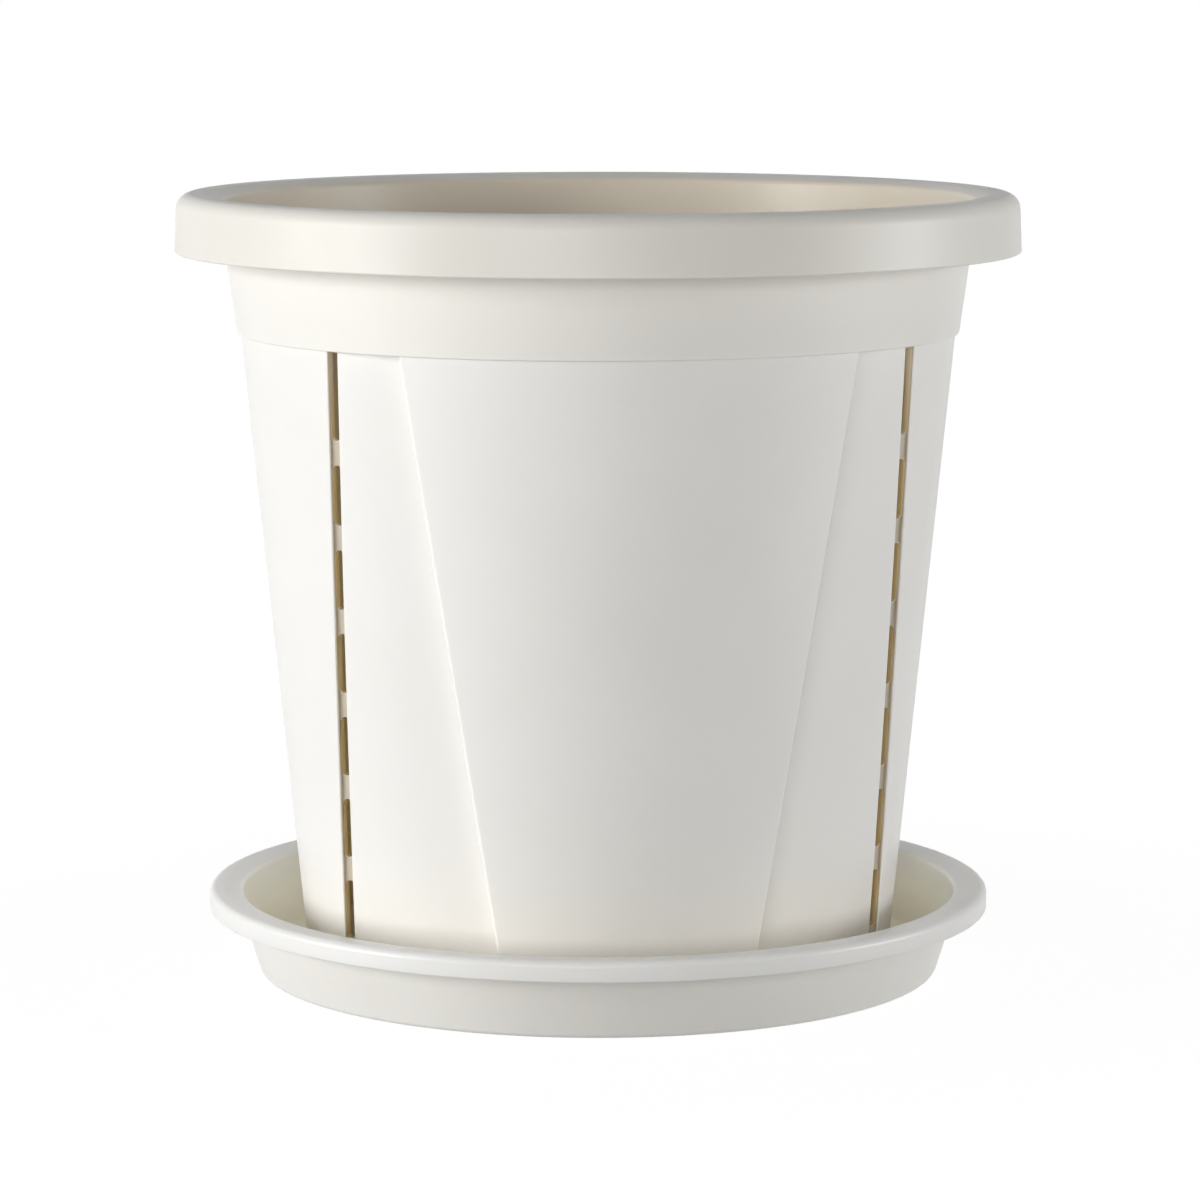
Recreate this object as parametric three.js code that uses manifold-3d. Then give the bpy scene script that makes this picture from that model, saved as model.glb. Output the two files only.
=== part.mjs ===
// Slotted plant pot standing in its saucer.
// Sizes are in millimetres and +Z is up. The table is z = 0, the axis of both mouldings is
// x = y = 0, and the front panel faces -Y.
import * as THREE from 'three';
import { mergeVertices, toCreasedNormals } from 'three/addons/utils/BufferGeometryUtils.js';
import Module from 'manifold-3d';

const wasm = await Module();
wasm.setup();

// Rolled rim, open below; its width is the size the pot goes by
const rimWidth = 300; // across the lower edge of the skirt
const potHeight = 275.6; // foot to the crest of the rim
const wall = 2.4;
const rimDepth = 20.7; // crest to the lower edge of the skirt
const rimReach = 17.9; // skirt's lower edge beyond the band it hides
const rimLean = 0.9; // how far the skirt leans in towards its shoulder
const rimWall = 2.5;
const rimShoulder = 9; // rounding of the shoulder
const rimCrest = 11; // shoulder's outside to where the lip falls inward
const rimCrestRounding = 14;
const rimFall = 2; // crest down to the inner edge
const rimInnerRounding = 2.4;
const rimEdgeRounding = 0.8;

// Plain band between the body and the rim
const bandHeight = 28.6; // what shows of it under the skirt
const bandFlare = 3.9; // how far it widens on each side over that height
const bandStep = 1.3; // how far its lower edge stands out from the body
const bandEdgeRounding = 0.8;

// Body, a straight taper
const bodyTaper = 22.55; // how far it narrows on each side down to the foot
const footRounding = 0.8;
const floorRise = 7; // foot to the underside of the pot's floor
const floorThickness = 2.6;
const floorFillet = 4;

// Front and back panels, flush with the body between recessed wings
const panelTopAngle = 37.64; // degrees from the panel's middle to its edge under the band
const panelFootAngle = 23.14; // and at the foot
const wingDepthTop = 6.4; // wing below the panel at the panel's edge, under the band
const wingDepthFoot = 9.2; // and at the foot
const wingTightness = 0.72; // radius of a wing's curve, as a share of the body's under the band

// Columns of slots, each in a groove between a wing and the plain side
const columnTopAngle = 52.5; // degrees from the panel's middle to the groove's outer edge, at the band
const columnFootAngle = 63.9; // and at the foot
const columnFacing = 35; // degrees from straight ahead to where the groove's floor faces
const slotWidth = 3.4;
const slotBridge = 8.45; // wall left between two slots
const slotCount = 7;
const topSlotLength = 31; // the top slot ends square against the band
const lowestSlot = 18; // foot to the lower end of the lowest slot
const grooveMargin = 0.15; // groove beyond the slots on each side
const grooveDepth = 1.2; // groove's floor below the plain side
const grooveLip = 0.5; // and below the wing
const grooveFloor = 2.4; // thickness of that floor, a rib behind the wall
const ribSide = 3; // rib beyond the groove on each side

// Drainage in the floor and the foot
const drainWidth = 3.6;
const outerDrains = 12;
const outerDrainLength = 30;
const drainEdge = 14.35; // from the outer drain slots out to the foot's edge
const innerDrains = 8;
const innerDrainLength = 28;
const drainRing = 10; // floor left between the inner and outer drain slots
const footNotches = 8;
const footNotchWidth = 14;
const footNotchHeight = 3;

// Saucer
const saucerHeight = 30.4;
const saucerRoom = 14.85; // pot's foot to the edge of the flat ring that stands on the table
const saucerFootRing = 15; // width of that ring
const saucerFootRecess = 1.2; // how far the floor is raised inside the ring
const saucerFootRounding = 2.5;
const saucerFloor = 2.2; // thickness of the floor
const saucerFloorFillet = 5;
const saucerWall = 2.2;
const saucerFlare = 9.1; // how far the mouth is wider on each side than the ring
const saucerLipReach = 11.7; // lip beyond the mouth
const saucerLipCrest = 4.8; // lip's outside to where its top falls towards the mouth
const saucerLipFall = 0.7;
const saucerLipDrop = 7.2; // height of the lip's outer face
const saucerLipRounding = 3.2; // outer corner of the lip
const saucerMouthRounding = 2.4; // inner corner of the lip
const saucerLipEdgeRounding = 0.5;

const roundSides = 96; // facets of a full turn
const chordGap = 0.25; // from a rounding's arc to the middle of its facets
const cornerShare = 0.48; // most of a corner's shorter side that its arc takes
const slotEndSides = 6; // facets of a slot's half-round end, an even number
const overshoot = 5; // cutters run past what they cut
const seam = 0.05; // forms that meet edge to edge overlap by this
const weldGap = 0.001; // points closer than this are one
const flatness = 0.01; // faces this close to a plane become one
const creaseAngle = 0.5; // radians, between faces that are shaded as one surface

// Widths across the round forms
const bandTopWidth = rimWidth - 2 * rimReach;
const bandFootWidth = bandTopWidth - 2 * bandFlare;
const bodyTopWidth = bandFootWidth - 2 * bandStep;
const footWidth = bodyTopWidth - 2 * bodyTaper;
const wingRadius = wingTightness * bodyTopWidth / 2;
const grooveWidth = slotWidth + 2 * grooveMargin;

// Heights above the table
const potFoot = saucerFootRecess + saucerFloor;
const floorUnder = potFoot + floorRise;
const floorTop = floorUnder + floorThickness;
const rimTop = potFoot + potHeight;
const rimFoot = rimTop - rimDepth;
const rimUnder = rimTop - rimWall;
const bandFoot = rimFoot - bandHeight;
const bodyHeight = bandFoot - potFoot;

const lerp = (from, to, share) => from + (to - from) * share;
const bodyShare = (z) => (z - potFoot) / bodyHeight;
const bodyRadius = (z) => lerp(footWidth, bodyTopWidth, bodyShare(z)) / 2;
const bandRadius = (z) => lerp(bandFootWidth, bandTopWidth, (z - bandFoot) / bandHeight) / 2;

// Distance from the panel's middle plane, at a height, of a straight line that runs up the body
// between two places given in degrees round from the panel's middle.
function sideways(z, footAngle, topAngle) {
  const foot = Math.sin(THREE.MathUtils.degToRad(footAngle)) * footWidth / 2;
  const top = Math.sin(THREE.MathUtils.degToRad(topAngle)) * bodyTopWidth / 2;
  return lerp(foot, top, bodyShare(z));
}

const panelEdge = (z) => sideways(z, panelFootAngle, panelTopAngle);
const columnSide = (z) => sideways(z, columnFootAngle, columnTopAngle);

// Profile through corners given as [radius, height, rounding], each turned by an arc that
// stays within the shorter of its two sides.
function roundedProfile(corners) {
  const points = [];
  corners.forEach(([radius, height, rounding = 0], i) => {
    const corner = new THREE.Vector2(radius, height);
    if (!rounding) {
      points.push(corner);
      return;
    }
    const back = new THREE.Vector2(...corners[i - 1]).sub(corner);
    const ahead = new THREE.Vector2(...corners[i + 1]).sub(corner);
    const reach = cornerShare * Math.min(back.length(), ahead.length());
    back.normalize();
    ahead.normalize();
    const half = Math.acos(THREE.MathUtils.clamp(back.dot(ahead), -1, 1)) / 2;
    const run = Math.min(rounding / Math.tan(half), reach);
    const size = run * Math.tan(half);
    const centre = back.clone().add(ahead).normalize().multiplyScalar(size / Math.sin(half)).add(corner);
    const start = back.multiplyScalar(run).add(corner).sub(centre);
    const end = ahead.multiplyScalar(run).add(corner).sub(centre);
    const turn = Math.atan2(start.cross(end), start.dot(end));
    const steps = Math.ceil(Math.abs(turn) / (2 * Math.acos(1 - chordGap / Math.max(size, chordGap))));
    for (let step = 0; step <= steps; step++) {
      points.push(start.clone().rotateAround(new THREE.Vector2(), turn * step / steps).add(centre));
    }
  });
  return points;
}

// Solid of revolution about the Z axis from such a profile, which starts and ends on the axis.
function revolve(corners) {
  return new THREE.LatheGeometry(roundedProfile(corners), roundSides).rotateX(Math.PI / 2);
}

// Flat plate of an outline in XY, standing on z = 0.
function plate(outline, depth) {
  return new THREE.ExtrudeGeometry(outline, {
    depth,
    bevelEnabled: false,
    curveSegments: slotEndSides / 2,
  });
}

// The geometry with its doubled points joined, without the triangles that this closes up, and
// turned the right way out if it was mirrored.
function weld(geometry, mirrored = false) {
  const merged = mergeVertices(geometry, weldGap);
  const corners = merged.index.array;
  const triangles = [];
  for (let i = 0; i < corners.length; i += 3) {
    const [a, b, c] = corners.slice(i, i + 3);
    if (a !== b && b !== c && c !== a) triangles.push(a, mirrored ? c : b, mirrored ? b : c);
  }
  return merged.setIndex(triangles);
}

function solid(geometry, placement = new THREE.Matrix4()) {
  const placed = geometry.clone().applyMatrix4(placement);
  placed.deleteAttribute('normal');
  placed.deleteAttribute('uv');
  const { attributes, index } = weld(placed, placement.determinant() < 0);
  return new wasm.Manifold(new wasm.Mesh({
    numProp: 3,
    vertProperties: attributes.position.array,
    triVerts: new Uint32Array(index.array),
  }));
}

function meshOf(name, body, material) {
  const { vertProperties, triVerts } = body.asOriginal().simplify(flatness).getMesh();
  const geometry = new THREE.BufferGeometry();
  geometry.setAttribute('position', new THREE.BufferAttribute(vertProperties, 3));
  geometry.setIndex(new THREE.BufferAttribute(triVerts, 1));
  const mesh = new THREE.Mesh(toCreasedNormals(weld(geometry), creaseAngle), material);
  mesh.name = name;
  return mesh;
}

// The same solid in each quarter: front right, front left, back right and back left.
const quarters = [[1, 1], [-1, 1], [1, -1], [-1, -1]];
const quarterPlacement = ([x, y]) => new THREE.Matrix4().makeScale(x, y, 1);

// Directions at the front right groove: out of its floor, and across it.
const facing = THREE.MathUtils.degToRad(columnFacing);
const columnOut = new THREE.Vector3(Math.sin(facing), -Math.cos(facing), 0);
const columnAcross = new THREE.Vector3(0, 0, 1).cross(columnOut);

// Outer edge of that groove, on the surface of the plain side.
function columnEdge(z) {
  const x = columnSide(z);
  return new THREE.Vector3(x, -Math.sqrt(bodyRadius(z) ** 2 - x ** 2), z);
}

// A wing is a cylinder that is tighter than the body and leans with it. It runs from the
// groove's inner edge to the panel's edge, where it lies the wing's depth below the panel.
function wingCentre(z, depth) {
  const edge = panelEdge(z);
  const panelSide = new THREE.Vector3(edge, -Math.sqrt((bodyRadius(z) - depth) ** 2 - edge ** 2), z);
  const grooveSide = columnEdge(z);
  grooveSide.addScaledVector(columnAcross, -grooveWidth);
  grooveSide.addScaledVector(columnOut, grooveLip - grooveDepth);
  const chord = grooveSide.clone().sub(panelSide);
  const inward = new THREE.Vector3(0, 0, 1).cross(chord).normalize();
  const reach = Math.sqrt(wingRadius ** 2 - chord.lengthSq() / 4);
  return panelSide.addScaledVector(chord, 0.5).addScaledVector(inward, reach);
}

const wingFoot = wingCentre(potFoot, wingDepthFoot);
const wingTop = wingCentre(bandFoot, wingDepthTop);

// Leaning cylinder of the front right wing, drawn in by the inset.
function wingCylinder(inset) {
  const low = potFoot - overshoot;
  const high = bandFoot + overshoot;
  const size = wingRadius - inset;
  const upright = revolve([[0, low], [size, low], [size, high], [0, high]]);
  const lean = wingTop.clone().sub(wingFoot).divideScalar(bodyHeight);
  return upright.applyMatrix4(new THREE.Matrix4().set(
    1, 0, lean.x, wingFoot.x - lean.x * potFoot,
    0, 1, lean.y, wingFoot.y - lean.y * potFoot,
    0, 0, 1, 0,
    0, 0, 0, 1,
  ));
}

// What the front right wing leaves free of the body: all between the panel's edge and the
// middle of the groove that lies outside the wing's cylinder.
function wingCut(inset, placement) {
  const low = potFoot - overshoot;
  const high = bandFoot + inset;
  const outer = (z) => (columnSide(z) - columnAcross.x * grooveWidth / 2) * (1 - inset / bodyRadius(z));
  const outline = new THREE.Shape([
    new THREE.Vector2(panelEdge(low) - inset, low),
    new THREE.Vector2(outer(low), low),
    new THREE.Vector2(outer(high), high),
    new THREE.Vector2(panelEdge(high) - inset, high),
  ]);
  const between = plate(outline, rimWidth / 2);
  between.rotateX(Math.PI / 2).translate(0, Math.min(wingFoot.y, wingTop.y), 0);
  return solid(between, placement).subtract(solid(wingCylinder(inset), placement));
}

// Middle of the front right groove at the foot, level with its outer edge, and its run upward.
const columnFoot = columnEdge(potFoot).addScaledVector(columnAcross, -grooveWidth / 2);
const columnRun = columnEdge(bandFoot).sub(columnEdge(potFoot));

// Upright bar along the groove, between two depths measured outward from its outer edge.
function columnBar(width, inner, outer, low, high) {
  const bar = new THREE.BoxGeometry(outer - inner, width, (high - low) / bodyHeight);
  bar.translate((inner + outer) / 2, 0, bodyShare((low + high) / 2));
  const frame = new THREE.Matrix4().makeBasis(columnOut, columnAcross, columnRun);
  return bar.applyMatrix4(frame.setPosition(columnFoot));
}

// Cutter for one slot, round at both ends or square at the top one.
function slotCutter(low, high, squareTop) {
  const half = slotWidth / 2;
  const outline = new THREE.Shape();
  outline.absarc(0, low + half, half, Math.PI, 2 * Math.PI);
  if (squareTop) outline.lineTo(half, high).lineTo(-half, high);
  else outline.absarc(0, high - half, half, 0, Math.PI);
  const depth = 4 * (grooveDepth + grooveFloor);
  const cutter = plate(outline, depth);
  cutter.translate(0, -potFoot, -depth / 2);
  const upward = columnRun.clone().divideScalar(bodyHeight);
  const frame = new THREE.Matrix4().makeBasis(columnAcross, upward, columnOut);
  return cutter.applyMatrix4(frame.setPosition(columnFoot));
}

// Revolved form with its four wings let in, drawn in from the outside by the inset.
function wingedForm(corners, inset) {
  return quarters.reduce(
    (form, quarter) => form.subtract(wingCut(inset, quarterPlacement(quarter))),
    solid(revolve(corners)),
  );
}

function potOutside() {
  const shoulder = rimWidth / 2 - rimLean;
  const lipEnd = rimTop - rimFall - 2 * rimInnerRounding;
  const mouth = (z) => bandRadius(z) - wall - seam;
  return wingedForm([
    [0, potFoot],
    [footWidth / 2, potFoot, footRounding],
    [bodyTopWidth / 2, bandFoot],
    [bandRadius(bandFoot), bandFoot, bandEdgeRounding],
    [bandRadius(rimUnder), rimUnder],
    [shoulder - rimWall, rimUnder, rimShoulder - rimWall],
    [rimWidth / 2 - rimWall, rimFoot],
    [rimWidth / 2, rimFoot, rimEdgeRounding],
    [shoulder, rimTop, rimShoulder],
    [shoulder - rimCrest, rimTop, rimCrestRounding],
    [mouth(rimTop), rimTop - rimFall, rimInnerRounding],
    [mouth(lipEnd), lipEnd],
    [0, lipEnd],
  ], 0);
}

// Space inside the wall, with the ribs behind the grooves left standing between two heights.
function innerSpace(corners, low, high) {
  return quarters.reduce((space, quarter) => {
    const rib = columnBar(grooveWidth + 2 * ribSide, -grooveDepth - grooveFloor, 0, low, high);
    return space.subtract(solid(rib, quarterPlacement(quarter)));
  }, wingedForm(corners, wall));
}

function potInside() {
  const ledge = bandFoot + wall;
  const above = rimTop + overshoot;
  const ribTop = (bandFoot + ledge) / 2;
  return innerSpace([
    [0, floorTop],
    [bodyRadius(floorTop) - wall, floorTop, floorFillet],
    [bodyTopWidth / 2 - wall, bandFoot],
    [bandRadius(ledge) - wall, ledge],
    [bandRadius(above) - wall, above],
    [0, above],
  ], floorTop - overshoot, ribTop);
}

function underFloor() {
  const below = potFoot - overshoot;
  return innerSpace([
    [0, below],
    [bodyRadius(below) - wall, below],
    [bodyRadius(floorUnder) - wall, floorUnder],
    [0, floorUnder],
  ], below - overshoot, floorUnder + overshoot);
}

// Radial drain slot through the floor along +X.
function drainCutter(start, end) {
  const half = drainWidth / 2;
  const outline = new THREE.Shape();
  outline.absarc(start + half, 0, half, Math.PI / 2, 1.5 * Math.PI);
  outline.absarc(end - half, 0, half, -Math.PI / 2, Math.PI / 2);
  return plate(outline, floorThickness + 2 * overshoot).translate(0, 0, floorUnder - overshoot);
}

function ringOf(count, geometry, offset = 0) {
  return Array.from({ length: count }, (_, i) => {
    const angle = 2 * Math.PI * (i + offset) / count;
    return solid(geometry, new THREE.Matrix4().makeRotationZ(angle));
  });
}

function potBody() {
  let pot = potOutside().subtract(potInside()).subtract(underFloor());
  const groove = columnBar(grooveWidth, -grooveDepth, overshoot, potFoot - overshoot, bandFoot);
  const slotPitch = (bodyHeight - lowestSlot - topSlotLength) / (slotCount - 1);
  const slots = Array.from({ length: slotCount }, (_, i) => {
    const low = potFoot + lowestSlot + i * slotPitch;
    const top = i === slotCount - 1;
    return slotCutter(low, top ? bandFoot : low + slotPitch - slotBridge, top);
  });
  for (const quarter of quarters) {
    for (const cutter of [groove, ...slots]) pot = pot.subtract(solid(cutter, quarterPlacement(quarter)));
  }
  const notch = new THREE.BoxGeometry(footWidth / 2, footNotchWidth, 2 * footNotchHeight);
  notch.translate(footWidth / 2, 0, potFoot);
  const outerDrainEnd = footWidth / 2 - drainEdge;
  const outerDrainStart = outerDrainEnd - outerDrainLength;
  const innerDrainEnd = outerDrainStart - drainRing;
  const drainage = [
    ...ringOf(innerDrains, drainCutter(innerDrainEnd - innerDrainLength, innerDrainEnd)),
    ...ringOf(outerDrains, drainCutter(outerDrainStart, outerDrainEnd)),
    ...ringOf(footNotches, notch, 0.5),
  ];
  return drainage.reduce((form, cutter) => form.subtract(cutter), pot);
}

function saucerBody() {
  const footEdge = footWidth / 2 + saucerRoom;
  const ringInside = footEdge - saucerFootRing;
  const wallFoot = footEdge + saucerFootRounding;
  const mouth = footEdge + saucerFlare;
  const lip = mouth + saucerLipReach;
  const lipFoot = saucerHeight - saucerLipDrop;
  const lipUnder = saucerHeight - saucerLipFall - saucerWall;
  return solid(revolve([
    [0, saucerFootRecess],
    [ringInside, saucerFootRecess],
    [ringInside + saucerFootRecess, 0],
    [wallFoot, 0, saucerFootRounding],
    [mouth + saucerWall, lipUnder],
    [lip - saucerWall, lipUnder],
    [lip - saucerWall, lipFoot],
    [lip, lipFoot, saucerLipEdgeRounding],
    [lip, saucerHeight, saucerLipRounding],
    [lip - saucerLipCrest, saucerHeight],
    [mouth, saucerHeight - saucerLipFall, saucerMouthRounding],
    [wallFoot - saucerWall, potFoot, saucerFloorFillet],
    [0, potFoot],
  ]));
}

const ivory = new THREE.MeshStandardMaterial({
  name: 'ivory_plastic',
  color: 0xefece2,
  roughness: 0.5,
  metalness: 0,
});
const saucerIvory = ivory.clone();
saucerIvory.roughness = 0.42;

const group = new THREE.Group();
group.add(meshOf('saucer', saucerBody(), saucerIvory));
group.add(meshOf('pot', potBody(), ivory));

export default group;
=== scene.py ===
import math

import bmesh
import bpy
from mathutils import Matrix, Vector


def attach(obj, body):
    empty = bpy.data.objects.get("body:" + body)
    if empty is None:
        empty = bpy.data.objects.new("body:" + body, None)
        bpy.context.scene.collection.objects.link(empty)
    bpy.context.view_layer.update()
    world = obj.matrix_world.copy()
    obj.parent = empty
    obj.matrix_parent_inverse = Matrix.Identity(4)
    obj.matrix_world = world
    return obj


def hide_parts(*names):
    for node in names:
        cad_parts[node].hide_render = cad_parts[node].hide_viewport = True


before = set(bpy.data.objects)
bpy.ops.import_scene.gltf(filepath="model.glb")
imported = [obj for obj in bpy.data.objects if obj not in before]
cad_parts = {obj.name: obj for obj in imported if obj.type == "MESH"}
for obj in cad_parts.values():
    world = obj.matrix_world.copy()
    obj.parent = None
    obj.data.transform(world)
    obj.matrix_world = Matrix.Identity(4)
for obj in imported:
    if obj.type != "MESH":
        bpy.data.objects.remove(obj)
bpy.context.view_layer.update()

mm = 0.001


def lerp(start, end, share):
    return start + (end - start) * share


def activate(piece):
    bpy.ops.object.select_all(action="DESELECT")
    piece.select_set(True)
    bpy.context.view_layer.objects.active = piece


def applyModifier(piece, kind, **settings):
    activate(piece)
    bpy.ops.object.modifier_add(type=kind)
    modifier = piece.modifiers[-1]
    for name, value in settings.items():
        setattr(modifier, name, value)
    bpy.ops.object.modifier_apply(modifier=modifier.name)


def joined(pieces):
    activate(pieces[0])
    for piece in pieces:
        piece.select_set(True)
    bpy.ops.object.join()
    return bpy.context.object


def editMesh(piece):  # opens the piece in edit mode with nothing selected
    activate(piece)
    bpy.ops.object.mode_set(mode="EDIT")
    bpy.ops.mesh.select_all(action="DESELECT")


def pick(piece, wanted, kind="verts"):  # selects what the test wants, in the open edit mode
    mesh = bmesh.from_edit_mesh(piece.data)
    modes = {"verts": "VERT", "edges": "EDGE"}
    bpy.ops.mesh.select_mode(type=modes[kind])
    bpy.ops.mesh.select_all(action="DESELECT")
    for part in getattr(mesh, kind):
        if wanted(part):
            part.select_set(True)
    mesh.select_flush_mode()
    bmesh.update_edit_mesh(piece.data)


def edgeMiddle(edge):  # in millimetres
    return (edge.verts[0].co + edge.verts[1].co) / 2 / mm


def outwards(piece):
    editMesh(piece)
    bpy.ops.mesh.select_all(action="SELECT")
    bpy.ops.mesh.normals_make_consistent(inside=False)
    bpy.ops.object.mode_set(mode="OBJECT")


def finished(piece, name):
    sharpFrom = math.radians(35)
    piece.name = piece.data.name = name
    activate(piece)
    bpy.ops.object.shade_smooth_by_angle(angle=sharpFrom)
    applyModifier(piece, "WEIGHTED_NORMAL", keep_sharp=True, weight=60)
    return piece


# A corner of a line turned into an arc of points, which stays within its shorter side
def turnedCorner(before, corner, after, rounding, steps):
    back = Vector(before) - Vector(corner)
    ahead = Vector(after) - Vector(corner)
    shareOfSide = 0.48
    reach = shareOfSide * min(back.length, ahead.length)
    back.normalize()
    ahead.normalize()
    half = back.angle(ahead) / 2
    run = min(rounding / math.tan(half), reach)
    centre = Vector(corner) + (back + ahead).normalized() * run / math.cos(half)
    start = Vector(corner) + back * run - centre
    end = Vector(corner) + ahead * run - centre
    turn = math.atan2(start.x * end.y - start.y * end.x, start.dot(end))
    return [
        centre + Matrix.Rotation(turn * step / steps, 2) @ start
        for step in range(steps + 1)
    ]


# Corners are (x, y, rounding, steps), or (x, y) for one that stays sharp
def turnedLine(corners):
    points = []
    for i, corner in enumerate(corners):
        if len(corner) == 2:
            points.append(Vector(corner))
        else:
            before, after = corners[i - 1][:2], corners[i + 1][:2]
            points += turnedCorner(before, corner[:2], after, corner[2], corner[3])
    return points


# Millimetres and degrees. Its large forms are the solid's and its small roundings are its own.
pot = {
    "foot": 3.4,  # stands on the saucer's floor
    "floorUnder": 10.4,
    "floorTop": 13.0,
    "bandFoot": 229.7,
    "rimFoot": 258.3,
    "rimTop": 279.0,
    "wall": 2.4,
    "footRadius": 104.35,
    "bodyTopRadius": 126.9,
    "bandFootRadius": 128.2,
    "bandTopRadius": 132.1,
    "rimRadius": 149.95,
    "rimLean": 0.85,  # how far the skirt leans in towards its shoulder
    "rimWall": 2.5,
    "rimCrest": 11,  # shoulder's outside to where the top falls inwards
    "rimFall": 2,  # from there down to the inner edge
    "bandFootRounding": 0.8,
    "underRimFillet": 0.6,
    "rimInnerFillet": 6.5,
    "skirtInnerRounding": 0.5,
    "skirtOuterRounding": 0.8,
    "shoulderRounding": 9,
    "crestRounding": 14,
    "mouthRounding": 2.4,
    "footRounding": 0.8,
    "floorFillet": 4,
    "panelFootAngle": 23.14,  # from the panel's middle to its edge
    "panelTopAngle": 37.64,
    "wingDepthFoot": 9.2,  # below the panel, at the panel's edge
    "wingDepthTop": 6.4,
    "wingRadius": 91.37,
    "columnFootAngle": 63.9,  # from the panel's middle to the groove's outer edge
    "columnTopAngle": 52.5,
    "columnFacing": 35,  # from straight ahead to where the groove's floor faces
    "panelEdgeRounding": 0.55,
    "wingFootFillet": 0.5,
    "grooveWidth": 3.7,
    "grooveDepth": 1.2,  # below the plain side
    "grooveLip": 0.5,  # below the wing
    "grooveFloor": 2.4,  # its thickness
    "grooveRounding": 0.2,
    "grooveOuterRounding": 0.6,
    "ribSide": 3,  # beyond the groove on each side
    "slotWidth": 3.4,
    "slotBridge": 8.45,  # between two slots
    "slotCount": 7,
    "topSlotLength": 31,
    "lowestSlot": 18,  # its lower end above the pot's foot
    "slotEdgeRounding": 0.12,
    "drainWidth": 3.6,
    "outerDrains": {"count": 12, "start": 60, "length": 30},
    "innerDrains": {"count": 8, "start": 22, "length": 28},
    "drainEdgeRounding": 0.3,
    "footNotchCount": 8,
    "footNotchWidth": 14,
    "footNotchHeight": 3,
    "panelSteps": 24,
    "wingSteps": 14,
    "sideSteps": 24,
    "wallRows": 16,
    "panelEdgeSteps": 4,
    "wingFootSteps": 3,
    "grooveSteps": 2,
    "footSteps": 4,
    "floorFilletSteps": 5,
}

# The bars and blocks that cut it, which reach past what they cut
cutter = {
    "sides": 30,  # of a bar's two round ends together
    "slotDepth": 9.2,
    "slotMiddle": 5.4,  # how far the bar's middle lies in from the plain side
    "slotPastBand": 0.3,
    "drainDepth": 8,
    "notchReach": 60,
}

bodyHeight = pot["bandFoot"] - pot["foot"]
potMiddle = Vector((0, 0))


def bodyShare(z):
    return (z - pot["foot"]) / bodyHeight


def bodyRadius(z):
    return lerp(pot["footRadius"], pot["bodyTopRadius"], bodyShare(z))


def bandRadius(z):
    share = (z - pot["bandFoot"]) / (pot["rimFoot"] - pot["bandFoot"])
    return lerp(pot["bandFootRadius"], pot["bandTopRadius"], share)


def sideways(z, footAngle, topAngle):  # a straight line up the body, by its distance from x = 0
    foot = math.sin(math.radians(footAngle)) * pot["footRadius"]
    top = math.sin(math.radians(topAngle)) * pot["bodyTopRadius"]
    return lerp(foot, top, bodyShare(z))


def panelEdge(z):
    return sideways(z, pot["panelFootAngle"], pot["panelTopAngle"])


# Outer edge of the slot column's groove, where the plain side begins
def columnEdge(z):
    x = sideways(z, pot["columnFootAngle"], pot["columnTopAngle"])
    return Vector((x, -math.sqrt(bodyRadius(z) ** 2 - x * x)))


facing = math.radians(pot["columnFacing"])
columnOut = Vector((math.sin(facing), -math.cos(facing)))
columnAcross = Vector((-columnOut.y, columnOut.x))
columnFoot, columnTop = columnEdge(pot["foot"]), columnEdge(pot["bandFoot"])


def columnLine(z):
    return columnFoot.lerp(columnTop, bodyShare(z))


# Middle of the wing's tighter curve at one end of the body. The curve runs from the groove's
# inner edge to the panel's edge, where it lies this deep below the panel.
def wingCentre(z, depth):
    edge = panelEdge(z)
    panelSide = Vector((edge, -math.sqrt((bodyRadius(z) - depth) ** 2 - edge ** 2)))
    grooveSide = columnEdge(z) - columnAcross * pot["grooveWidth"]
    grooveSide += columnOut * (pot["grooveLip"] - pot["grooveDepth"])
    chord = grooveSide - panelSide
    inward = Vector((-chord.y, chord.x)).normalized()
    reach = math.sqrt(pot["wingRadius"] ** 2 - chord.length_squared / 4)
    return panelSide + chord / 2 + inward * reach


wingFoot = wingCentre(pot["foot"], pot["wingDepthFoot"])
wingTop = wingCentre(pot["bandFoot"], pot["wingDepthTop"])


# Where a line leaves a circle
def leaves(start, direction, centre, radius):
    offset = start - centre
    along = offset.dot(direction)
    ahead = math.sqrt(along ** 2 - offset.length_squared + radius ** 2) - along
    return start + direction * ahead


def arcBetween(start, end, centre, steps):  # without its two ends
    first, last = start - centre, end - centre
    turn = math.atan2(first.x * last.y - first.y * last.x, first.dot(last))
    return [centre + Matrix.Rotation(turn * i / steps, 2) @ first for i in range(1, steps)]


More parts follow.
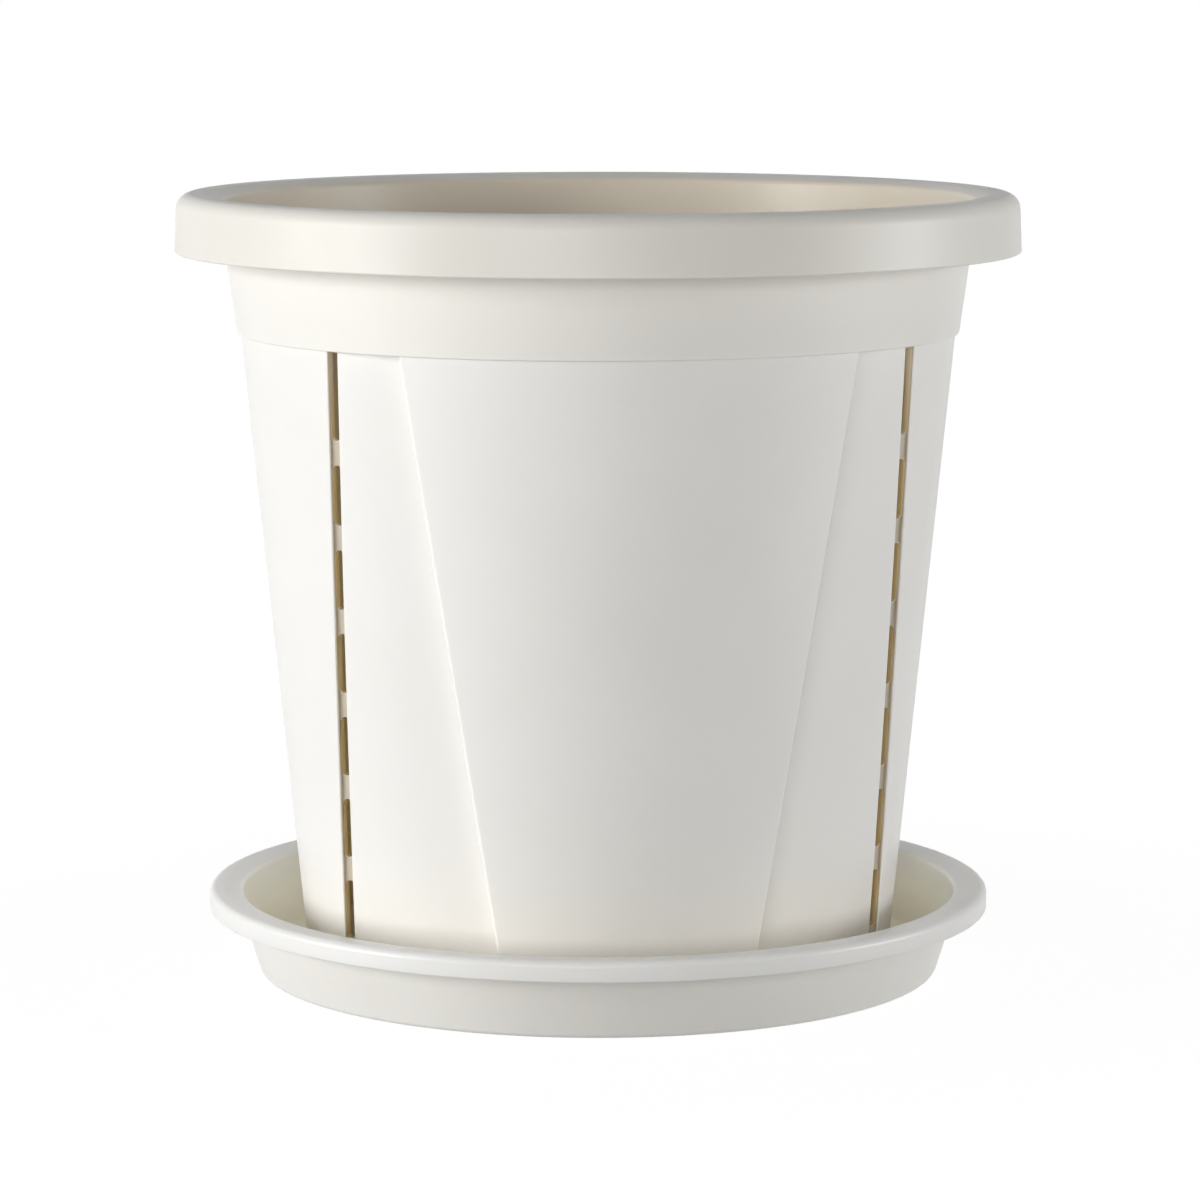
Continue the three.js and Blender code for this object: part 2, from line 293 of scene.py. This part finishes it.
# Front right quarter of the wall's outline at a height, from the middle of the panel round to
# the middle of the plain side, drawn in by the inset. The inner face has a rib that backs the
# groove instead of the groove.
def wallSection(z, inset, inner=False):
    radius = bodyRadius(z) - inset
    centre = wingFoot.lerp(wingTop, bodyShare(z))
    wing = pot["wingRadius"] - inset
    edgeX = panelEdge(z) - inset
    line = columnLine(z)
    out, across = columnOut, columnAcross

    panelStart = Vector((0, -radius))
    panelEnd = Vector((edgeX, -math.sqrt(radius ** 2 - edgeX ** 2)))
    stepFoot = Vector((edgeX, centre.y - math.sqrt(wing ** 2 - (edgeX - centre.x) ** 2)))
    sideEnd = Vector((radius, 0))
    if inner:
        spread = pot["ribSide"] + inset - pot["wall"]
        depth = pot["grooveDepth"] + pot["grooveFloor"] + inset - pot["wall"]
        near = line - across * (pot["grooveWidth"] + spread)
        floorNear = near - out * depth
        floorFar = leaves(floorNear, across, potMiddle, radius)
        sideStart = floorFar
    else:
        near = line - across * (pot["grooveWidth"] + inset)
        depth = pot["grooveDepth"] + inset
        floorNear = near - out * depth
        floorFar = line + across * inset - out * depth
        sideStart = leaves(floorFar, out, potMiddle, radius)
    wingEnd = leaves(near, out, centre, wing)

    panel = arcBetween(panelStart, panelEnd, potMiddle, pot["panelSteps"])
    wingArc = arcBetween(stepFoot, wingEnd, centre, pot["wingSteps"])
    steps = pot["grooveSteps"]
    sideSteps = pot["sideSteps"] + (steps + 1 if inner else 0)  # the rib has a corner less
    side = arcBetween(sideStart, sideEnd, potMiddle, sideSteps)
    edge = pot["grooveRounding"]
    points = [panelStart, *panel]
    points += turnedCorner(
        panel[-1], panelEnd, stepFoot, pot["panelEdgeRounding"], pot["panelEdgeSteps"])
    points += turnedCorner(
        panelEnd, stepFoot, wingArc[0], pot["wingFootFillet"], pot["wingFootSteps"])
    points += wingArc
    points += turnedCorner(wingArc[-1], wingEnd, floorNear, edge, steps)
    points += turnedCorner(wingEnd, floorNear, floorFar, edge, steps)
    if not inner:
        points += turnedCorner(floorNear, floorFar, sideStart, edge, steps)
        edge = pot["grooveOuterRounding"]
    beforeSide = floorNear if inner else floorFar
    points += turnedCorner(beforeSide, sideStart, side[0], edge, steps)
    points += side + [sideEnd]
    return [Vector((point.x, point.y, z)) for point in points]


def sectionAngles(section):  # the angles of a section's points, made to rise steadily
    angles = [math.atan2(point.x, -point.y) for point in section]
    smallest = math.radians(0.08)
    for i in range(1, len(angles) - 1):
        angles[i] = max(angles[i], angles[i - 1] + smallest)
    for i in range(len(angles) - 2, 0, -1):
        angles[i] = min(angles[i], angles[i + 1] - smallest)
    angles[0], angles[-1] = 0, math.pi / 2
    return angles


def roundRow(radius, z, angles):
    row = [Vector((radius * math.sin(a), -radius * math.cos(a), z)) for a in angles]
    row[0].x = row[-1].y = 0  # its ends lie on the pot's two mirror planes
    return row


def potRows():
    foot, wall, rounding = pot["foot"], pot["wall"], pot["footRounding"]
    rows = [wallSection(z, wall, inner=True) for z in (pot["floorUnder"], foot)]
    for step in range(pot["footSteps"] + 1):  # the foot's outer edge
        angle = math.pi / 2 * step / pot["footSteps"]
        z = foot + rounding * (1 - math.cos(angle))
        rows.append(wallSection(z, rounding * (1 - math.sin(angle))))
    low = foot + rounding
    for step in range(1, pot["wallRows"] + 1):
        rows.append(wallSection(lerp(low, pot["bandFoot"], step / pot["wallRows"]), 0))

    outer = sectionAngles(rows[-1])
    ledge = pot["bandFoot"] + wall
    inner = sectionAngles(wallSection(ledge, wall, inner=True))
    top, under = pot["rimTop"], pot["rimTop"] - pot["rimWall"]
    shoulder = pot["rimRadius"] - pot["rimLean"]
    profile = turnedLine([
        (pot["bodyTopRadius"], pot["bandFoot"]),
        (bandRadius(pot["bandFoot"]), pot["bandFoot"], pot["bandFootRounding"], 4),
        (bandRadius(under), under, pot["underRimFillet"], 3),
        (shoulder - pot["rimWall"], under, pot["rimInnerFillet"], 8),
        (pot["rimRadius"] - pot["rimWall"], pot["rimFoot"], pot["skirtInnerRounding"], 3),
        (pot["rimRadius"], pot["rimFoot"], pot["skirtOuterRounding"], 5),
        (shoulder, top, pot["shoulderRounding"], 14),
        (shoulder - pot["rimCrest"], top, pot["crestRounding"], 8),
        (bandRadius(top) - wall, top - pot["rimFall"], pot["mouthRounding"], 8),
        (bandRadius(ledge) - wall, ledge),
    ])[1:]
    for i, point in enumerate(profile):
        share = i / (len(profile) - 1)
        angles = [lerp(a, b, share) for a, b in zip(outer, inner)]
        rows.append(roundRow(point.x, point.y, angles))

    fillet, floor = pot["floorFillet"], pot["floorTop"]
    ledgeFall = 0.4  # the inner face steps in from the band to the wall over this height
    for step in range(pot["wallRows"]):
        z = lerp(ledge - ledgeFall, floor + fillet, step / pot["wallRows"])
        rows.append(wallSection(z, wall, inner=True))
    for step in range(pot["floorFilletSteps"] + 1):  # where the wall turns into the floor
        angle = math.pi / 2 * step / pot["floorFilletSteps"]
        inset = wall + fillet * (1 - math.cos(angle))
        rows.append(wallSection(floor + fillet * (1 - math.sin(angle)), inset, inner=True))
    return rows


def potShell():
    rows = potRows()
    columns = len(rows[0])
    bpy.ops.mesh.primitive_grid_add(
        x_subdivisions=columns - 1, y_subdivisions=len(rows) - 1, size=1)
    shell = bpy.context.object
    order = sorted(shell.data.vertices, key=lambda v: (round(v.co.y, 5), round(v.co.x, 5)))
    for i, vertex in enumerate(order):  # the flat sheet is wrapped round the pot's quarter
        vertex.co = rows[i // columns][i % columns] * mm
    applyModifier(shell, "MIRROR", use_axis=(True, True, False), merge_threshold=0.01 * mm)
    editMesh(shell)
    bpy.ops.mesh.select_mode(type="VERT")
    bpy.ops.mesh.select_non_manifold(
        extend=False, use_wire=False, use_boundary=True, use_multi_face=False,
        use_non_contiguous=False, use_verts=False)
    bpy.ops.mesh.fill_holes(sides=0)
    bpy.ops.object.mode_set(mode="OBJECT")
    outwards(shell)
    return shell


# Upright bar with round ends, or a square upper one, standing on y = 0 and centred on z = 0
def slotBar(width, length, depth, squareTop=False):
    bpy.ops.mesh.primitive_circle_add(
        vertices=cutter["sides"], radius=width / 2 * mm, fill_type="NGON")
    bar = bpy.context.object
    editMesh(bar)
    pick(bar, lambda v: v.co.y > 0)
    if squareTop:
        bpy.ops.transform.resize(value=(1, 0, 1), center_override=(0, 0, 0))
        bpy.ops.transform.translate(value=(0, (length - width / 2) * mm, 0))
    else:
        bpy.ops.transform.translate(value=(0, (length - width) * mm, 0))
    bpy.ops.mesh.select_all(action="SELECT")
    bpy.ops.transform.translate(value=(0, width / 2 * mm, -depth / 2 * mm))
    bpy.ops.mesh.extrude_region_move(TRANSFORM_OT_translate={"value": (0, 0, depth * mm)})
    bpy.ops.object.mode_set(mode="OBJECT")
    return bar


def axes(x, y, z, place):  # matrix of three directions and a place
    matrix = Matrix((x, y, z)).transposed().to_4x4()
    matrix.translation = place
    return matrix


def slotCutters():
    bars = []
    pitch = (bodyHeight - pot["lowestSlot"] - pot["topSlotLength"]) / (pot["slotCount"] - 1)
    run = Vector((*(columnTop - columnFoot), bodyHeight))
    upward = run / bodyHeight
    out, across = Vector((*columnOut, 0)), Vector((*columnAcross, 0))
    for i in range(pot["slotCount"]):
        low = pot["lowestSlot"] + i * pitch
        topmost = i == pot["slotCount"] - 1
        length = pitch - pot["slotBridge"]
        if topmost:
            length = pot["topSlotLength"] + cutter["slotPastBand"]
        bar = slotBar(pot["slotWidth"], length, cutter["slotDepth"], squareTop=topmost)
        middle = Vector((*(columnFoot - columnAcross * pot["grooveWidth"] / 2), pot["foot"]))
        foot = middle + upward * low - out * cutter["slotMiddle"]
        bar.data.transform(axes(across, upward, out, foot * mm))
        bars.append(bar)
    bars = joined(bars)
    applyModifier(bars, "MIRROR", use_axis=(True, True, False), use_mirror_merge=False)
    return bars


def ringOf(count, make, offset=0):  # copies of one cutter, each with its own mesh
    first = make()
    copies = [first]
    for i in range(1, count):
        copy = first.copy()
        copy.data = first.data.copy()
        bpy.context.collection.objects.link(copy)
        copies.append(copy)
    for i, copy in enumerate(copies):
        copy.data.transform(Matrix.Rotation(2 * math.pi * (i + offset) / count, 4, "Z"))
    return joined(copies)


def drainBars(drains):
    def makeBar():
        bar = slotBar(pot["drainWidth"], drains["length"], cutter["drainDepth"])
        x, y, z = Vector((0, -1, 0)), Vector((1, 0, 0)), Vector((0, 0, 1))
        foot = Vector((drains["start"], 0, (pot["floorUnder"] + pot["floorTop"]) / 2))
        bar.data.transform(axes(x, y, z, foot * mm))
        return bar
    return ringOf(drains["count"], makeBar)


def notchBlock():
    bpy.ops.mesh.primitive_cube_add(size=1)
    block = bpy.context.object
    size = Vector((cutter["notchReach"], pot["footNotchWidth"], 2 * pot["footNotchHeight"])) * mm
    block.data.transform(Matrix.Diagonal((*size, 1)))
    block.data.transform(Matrix.Translation(Vector((pot["footRadius"], 0, pot["foot"])) * mm))
    return block


def columnDepth(point):  # how far a point lies out of the wall and across the nearest groove
    flat = Vector((abs(point.x), -abs(point.y)))
    offset = flat - columnLine(point.z)
    return offset.dot(columnOut), offset.dot(columnAcross) + pot["grooveWidth"] / 2


sharpFold = math.radians(40)  # an edge folded by more than this gets rounded
onFace = 0.03  # and one within this many millimetres of a face counts as on it


def sharp(edge):
    return len(edge.link_faces) == 2 and edge.calc_face_angle() >= sharpFold


def slotEdge(edge):
    if not sharp(edge):
        return False
    depth, side = columnDepth(edgeMiddle(edge))
    onFloor = abs(depth + pot["grooveDepth"]) < onFace
    onRib = abs(depth + pot["grooveDepth"] + pot["grooveFloor"]) < onFace
    return (onFloor or onRib) and abs(side) < pot["slotWidth"] / 2 + onFace


def drainEdge(edge):
    if not sharp(edge):
        return False
    middle = edgeMiddle(edge)
    faces = pot["floorTop"], pot["floorUnder"]
    outermost = pot["outerDrains"]["start"] + pot["outerDrains"]["length"] + pot["drainWidth"] / 2
    return any(abs(middle.z - z) < onFace for z in faces) and middle.xy.length < outermost


def makePot():
    shell = potShell()
    cutters = joined([
        slotCutters(),
        drainBars(pot["outerDrains"]),
        drainBars(pot["innerDrains"]),
        ringOf(pot["footNotchCount"], notchBlock, offset=0.5),
    ])
    outwards(cutters)
    applyModifier(shell, "BOOLEAN", operation="DIFFERENCE", solver="EXACT", object=cutters)
    bpy.data.objects.remove(cutters)
    editMesh(shell)
    for wanted, rounding in ((slotEdge, "slotEdgeRounding"), (drainEdge, "drainEdgeRounding")):
        pick(shell, wanted, "edges")
        bpy.ops.mesh.bevel(
            offset=pot[rounding] * mm, offset_type="OFFSET", segments=2, affect="EDGES",
            clamp_overlap=False)
    bpy.ops.object.mode_set(mode="OBJECT")
    return finished(shell, "pot_moulding")


potPiece = makePot()
print("pot:", len(potPiece.data.polygons), "faces")


# Corners of its profile as (radius, height, rounding, steps), in millimetres
saucer = {
    "sides": 192,
    "dishRadius": 129,  # how far out the plastic of its inside reaches
    "profile": [
        (103.0, 1.2),  # the underside is raised within the foot ring
        (104.2, 1.2, 0.4, 2),
        (105.4, 0, 0.4, 2),
        (121.7, 0, 2.5, 8),  # outer edge of the foot ring
        (130.5, 27.5, 1.2, 4),  # top of the wall, under the lip
        (137.8, 27.5, 0.8, 3),
        (137.8, 23.2, 0.4, 2),  # lower edge of the lip, which is turned down
        (140.0, 23.2, 0.5, 4),
        (140.0, 30.4, 3.2, 12),
        (135.2, 30.4, 1.5, 4),  # from here the lip falls towards the dish
        (128.3, 29.7, 2.4, 8),
        (119.5, 3.4, 5, 10),  # where the wall turns into the floor
        (105.0, 3.4),
    ],
}


def makeSaucer():
    points = turnedLine(saucer["profile"])
    start = points[0]
    bpy.ops.mesh.primitive_circle_add(
        vertices=saucer["sides"], radius=start.x * mm, fill_type="NGON")
    dish = bpy.context.object
    editMesh(dish)
    bpy.ops.mesh.select_all(action="SELECT")
    bpy.ops.transform.translate(value=(0, 0, start.y * mm))
    for before, after in zip(points, points[1:]):  # each ring is drawn out of the one before
        rise = (0, 0, (after.y - before.y) * mm)
        widen = after.x / before.x
        bpy.ops.mesh.extrude_region_move(TRANSFORM_OT_translate={"value": rise})
        bpy.ops.transform.resize(value=(widen, widen, 1), center_override=(0, 0, after.y * mm))
    bpy.ops.object.mode_set(mode="OBJECT")
    outwards(dish)
    return finished(dish, "saucer_moulding")


saucerPiece = makeSaucer()
print("saucer:", len(saucerPiece.data.polygons), "faces")


def linear(hexColour):  # sRGB hex to linear RGBA
    parts = [int(hexColour[i:i + 2], 16) / 255 for i in (1, 3, 5)]
    return (*[c / 12.92 if c <= 0.04045 else ((c + 0.055) / 1.055) ** 2.4 for c in parts], 1)


def addNode(tree, kind, inputs=None, **settings):  # an input is a value or another node's socket
    node = tree.nodes.new(kind)
    for name, value in settings.items():
        setattr(node, name, value)
    for name, value in (inputs or {}).items():
        if isinstance(value, bpy.types.NodeSocket):
            tree.links.new(value, node.inputs[name])
        else:
            node.inputs[name].default_value = value
    return node


def newMaterial(name):
    material = bpy.data.materials.new(name)
    material.use_nodes = True
    material.node_tree.nodes.clear()
    return material, material.node_tree


def seenDirectly(tree):  # 1 for what the camera or a reflection sees, 0 for the light it gives
    path = addNode(tree, "ShaderNodeLightPath")
    return addNode(tree, "ShaderNodeMath", {
        0: path.outputs["Is Camera Ray"], 1: path.outputs["Is Glossy Ray"],
    }, operation="MAXIMUM").outputs[0]


# Polypropylene moulded in a spark-eroded tool: satin, with a fine even grain that breaks up
# the highlights, faint clouds where the melt flowed, and light that sinks in and softens the
# shade in its grooves. Its tint changes from one colour to another between two heights.
def mouldedPolypropylene(name, look):
    material, tree = newMaterial(name)
    place = addNode(tree, "ShaderNodeTexCoord").outputs["Object"]
    flow = addNode(tree, "ShaderNodeTexNoise", {
        "Vector": place, "Scale": 1 / (look["flowSize"] * mm), "Detail": 3, "Roughness": 0.55,
    }).outputs["Fac"]
    grain = addNode(tree, "ShaderNodeTexNoise", {
        "Vector": place, "Scale": 1 / (look["grainSize"] * mm), "Detail": 2, "Roughness": 0.6,
    }).outputs["Fac"]
    # Some looks use this change of tint with height to paint shade or warm light
    height = addNode(tree, "ShaderNodeSeparateXYZ", {"Vector": place}).outputs["Z"]
    height = addNode(tree, "ShaderNodeMapRange", {
        "Value": height, "From Min": look["lowTo"] * mm, "From Max": look["highFrom"] * mm,
    }, interpolation_type="SMOOTHSTEP").outputs["Result"]
    # Inputs 0, 6 and 7 of a colour mix are its share and its two colours
    tint = addNode(tree, "ShaderNodeMix", {
        0: height, 6: linear(look["low"]), 7: linear(look["high"]),
    }, data_type="RGBA").outputs[2]
    cloud = addNode(tree, "ShaderNodeMix", {
        0: flow, 6: linear(look["cloud"]), 7: linear("#FFFFFF"),
    }, data_type="RGBA").outputs[2]
    colour = addNode(tree, "ShaderNodeMix", {
        0: 1, 6: tint, 7: cloud,
    }, data_type="RGBA", blend_type="MULTIPLY").outputs[2]
    flowLow, flowHigh = 0.3, 0.7  # the noise mostly stays between these
    gloss = addNode(tree, "ShaderNodeMapRange", {
        "Value": flow, "From Min": flowLow, "From Max": flowHigh,
        "To Min": look["roughness"] + look["glossChange"],
        "To Max": look["roughness"] - look["glossChange"],
    }).outputs["Result"]
    bump = addNode(tree, "ShaderNodeBump", {
        "Strength": look["grainStrength"], "Distance": look["grainDepth"] * mm, "Height": grain,
    }).outputs["Normal"]
    lightDepth = look["lightDepth"] * mm
    if "lightDepthLow" in look:
        lightDepth = addNode(tree, "ShaderNodeMapRange", {
            "Value": height, "To Min": look["lightDepthLow"] * mm, "To Max": lightDepth,
        }).outputs["Result"]
    plastic = addNode(tree, "ShaderNodeBsdfPrincipled", {
        "Base Color": colour, "Roughness": gloss, "Normal": bump, "IOR": 1.49,
        "Subsurface Weight": 1, "Subsurface Scale": lightDepth,
        "Subsurface Radius": look["lightSpread"],
    })
    addNode(tree, "ShaderNodeOutputMaterial", {"Surface": plastic.outputs["BSDF"]})
    return material


# The band below the rim is a little warmer than the wall
potLook = {
    "low": "#F4F3F0",
    "high": "#F3F1EC",
    "lowTo": 228,
    "highFrom": 232,
    "cloud": "#F8F7F5",
    "flowSize": 60,
    "grainSize": 0.6,  # the real grain is finer and wouldn't show
    "grainDepth": 0.05,
    "grainStrength": 0.35,
    "roughness": 0.42,
    "glossChange": 0.04,
    "lightDepth": 0.9,
    "lightSpread": (1, 1, 1),
}
# Painted shade: the rim is coloured a deeper tone than the wall below it
rimPaintedShadeLook = dict(potLook, low="#E9E7E0", high="#E9E7E0")
# Painted shade: below the rim the slot walls are coloured ochre, standing in for the warm, dim
# light seen deep in the slots
slotPaintedShadeLook = dict(potLook, low="#E4D0A0", high="#EBE3D3", lowTo=185, highFrom=250)
# Inside, light sinks deeper into the plastic low down, and the inside is coloured warmer than the
# outside: painted warm shade, seen behind the slots
insidePaintedShadeLook = dict(slotPaintedShadeLook, low="#EFE3C8", lightDepthLow=3.5)
# Painted shade: the groove's floor and walls are coloured greyer and warmer than the wall, and
# light sinks deeper into them
groovePaintedShadeLook = dict(
    potLook, low="#CFC6B5", high="#CFC6B5", lightDepth=3, lightSpread=(1, 0.85, 0.65))
# Painted shade: the saucer's outside below its lip is coloured darker than the lip
saucerLook = dict(
    potLook, low="#EAE9E5", high="#EFEFEE", lowTo=22, highFrom=26, grainStrength=0.15,
    roughness=0.36, lightDepth=2.2, lightSpread=(1, 0.9, 0.75))
# Light comes through the saucer's wall as well, and the dish inside is painted brighter and
# warmer: painted light in the shaded dish
dishPaintedLightLook = dict(
    saucerLook, low="#FBF4E6", high="#FBF4E6", lightDepth=6, lightSpread=(1, 0.9, 0.75))


def facesIn(face):
    return face.normal.xy.dot(face.center.xy) < 0


def facesUp(face):
    return face.normal.z > 0.5  # leaning by less than 60 degrees


# How far each zone reaches past its own edge, in millimetres
zoneMargin = {"groove": 0.02, "grooveFloor": 0.01, "rim": 0.5, "floor": 0.1}


# The rim, slot, groove and inside zones get plastics coloured with painted shade
def potPlastic(face):
    place = face.center / mm
    depth, side = columnDepth(place)
    floor, middleOfWall = pot["floorTop"], pot["wall"] / 2
    inColumn = abs(side) < pot["grooveWidth"] / 2 + zoneMargin["groove"]
    if inColumn and floor < place.z < pot["bandFoot"]:
        if -pot["grooveDepth"] - zoneMargin["grooveFloor"] < depth < pot["grooveRounding"]:
            return "groove"
        if depth < -pot["grooveDepth"] - pot["slotEdgeRounding"]:
            return "slot"
    nearRim = place.z > pot["rimFoot"] - zoneMargin["rim"]
    if nearRim and place.xy.length > bandRadius(place.z) - middleOfWall:
        return "rim"
    onFloor = facesUp(face) and place.z < floor + pot["floorFillet"]
    onWall = facesIn(face) and place.z > floor - zoneMargin["floor"]
    return "inside" if onFloor or onWall else "outside"


# The inside zone gets the dish plastic, coloured with painted light
def saucerPlastic(face):
    place = face.center / mm
    floor = saucer["profile"][-1][1]  # the height of its last corner
    inDish = place.z > floor - zoneMargin["floor"] and place.xy.length < saucer["dishRadius"]
    return "inside" if inDish and (facesUp(face) or facesIn(face)) else "outside"


def cover(piece, looks, plasticOf):  # each face gets the plastic of its place on the moulding
    piece.data.materials.clear()
    for name, look in looks.values():
        piece.data.materials.append(mouldedPolypropylene(name, look))
    order = list(looks)
    for face in piece.data.polygons:
        face.material_index = order.index(plasticOf(face))


cover(potPiece, {
    "outside": ("polypropylene_moulded_ivory", potLook),
    "rim": ("polypropylene_moulded_ivory_rim_painted_shade", rimPaintedShadeLook),
    "inside": ("polypropylene_moulded_ivory_inside_painted_shade", insidePaintedShadeLook),
    "slot": ("polypropylene_moulded_ivory_slot_painted_shade", slotPaintedShadeLook),
    "groove": ("polypropylene_moulded_ivory_groove_painted_shade", groovePaintedShadeLook),
}, potPlastic)
cover(saucerPiece, {
    "outside": ("polypropylene_moulded_ivory_satin", saucerLook),
    "inside": ("polypropylene_moulded_ivory_satin_inside_painted_light", dishPaintedLightLook),
}, saucerPlastic)

for piece, body, slotName in (
    (potPiece, "pot", "pot_plastic"),
    (saucerPiece, "saucer", "saucer_plastic"),
):
    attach(piece, body)
    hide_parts(body)
print("materials:", len(potPiece.data.materials) + len(saucerPiece.data.materials))


# Lengths in metres
studio = {
    "floorSize": 12,
    "floorDrop": 0.0002,  # keeps the floor clear of the saucer's foot
    "floorGlow": 0.965,
    "shadowReach": 0.2,
    "fullGlowFrom": 0.6,
    "floorColour": "#484848",
    "floorBounce": 0.31,
    "lampDistance": 3,
    "lampSize": 1.6,
    "lampAim": 0.15,
    "ambient": 0.12,
}

# Lengths in metres, and the lens and sensor in millimetres
camera = {
    "azimuth": math.radians(-6.2),  # to the left of the panel's middle
    "distance": 1.7,
    "height": 0.3683,
    "pitch": math.radians(7.89),  # downwards
    "aim": math.radians(0.0216),  # to the right of the axis
    "lens": 143.48,
    "sensorWidth": 36,
}

# Angle to the right of the camera, height in metres and power in watts
lamps = {
    "key": (-71, 0.4, 89),
    "front": (-10, 0.3, 35),
    "fill": (85, 0.1, 66),
}


# Lit paper that reads as white in the picture, shows the object's shadow and lights it from below
def makeFloor():
    bpy.ops.mesh.primitive_plane_add(
        size=studio["floorSize"], location=(0, 0, -studio["floorDrop"]))
    floor = bpy.context.object
    floor.name = floor.data.name = "floor"
    material, tree = newMaterial("backdrop_paper_white")
    paper = addNode(tree, "ShaderNodeBsdfDiffuse", {"Color": linear(studio["floorColour"])})
    seen = seenDirectly(tree)
    spot = addNode(tree, "ShaderNodeTexCoord").outputs["Object"]
    away = addNode(tree, "ShaderNodeVectorMath", {0: spot}, operation="LENGTH").outputs["Value"]
    shown = addNode(tree, "ShaderNodeMapRange", {  # overexposed away from the object
        "Value": away,
        "From Min": studio["shadowReach"], "From Max": studio["fullGlowFrom"],
        "To Min": studio["floorGlow"], "To Max": 1,
    }).outputs["Result"]
    strength = addNode(tree, "ShaderNodeMapRange", {
        "Value": seen, "To Min": studio["floorBounce"], "To Max": shown,
    })
    glow = addNode(tree, "ShaderNodeEmission", {"Strength": strength.outputs["Result"]})
    lit = addNode(tree, "ShaderNodeAddShader", {0: paper.outputs[0], 1: glow.outputs[0]})
    addNode(tree, "ShaderNodeOutputMaterial", {"Surface": lit.outputs[0]})
    floor.data.materials.append(material)


def makeWorld():
    world = bpy.data.worlds.new("studio")
    bpy.context.scene.world = world
    world.use_nodes = True
    tree = world.node_tree
    tree.nodes.clear()
    seen = seenDirectly(tree)
    strength = addNode(tree, "ShaderNodeMapRange", {
        "Value": seen, "To Min": studio["ambient"], "To Max": 1,
    })
    sky = addNode(tree, "ShaderNodeBackground", {
        "Color": linear("#FFFFFF"), "Strength": strength.outputs["Result"],
    })
    addNode(tree, "ShaderNodeOutputWorld", {"Surface": sky.outputs[0]})


def makeCamera():
    turn = camera["azimuth"]
    place = Vector((math.sin(turn), -math.cos(turn), 0)) * camera["distance"]
    place.z = camera["height"]
    bpy.ops.object.camera_add(
        location=place, rotation=(math.pi / 2 - camera["pitch"], 0, turn - camera["aim"]))
    eye = bpy.context.object
    eye.data.lens = camera["lens"]
    eye.data.sensor_width = camera["sensorWidth"]
    bpy.context.scene.camera = eye


def addLamp(name, angle, height, power):
    turn = math.radians(angle) + camera["azimuth"]
    spot = Vector((math.sin(turn), -math.cos(turn), 0)) * studio["lampDistance"]
    spot.z = height
    bpy.ops.object.light_add(type="AREA", location=spot)
    lamp = bpy.context.object
    lamp.name = name
    lamp.data.energy = power
    lamp.data.size = studio["lampSize"]
    aim = Vector((0, 0, studio["lampAim"])) - spot
    lamp.rotation_euler = aim.to_track_quat("-Z", "Y").to_euler()


makeFloor()
makeWorld()
makeCamera()
for name, lamp in lamps.items():
    addLamp(name, *lamp)
bpy.context.scene.view_settings.view_transform = "Standard"
print("stage: floor, light and camera")
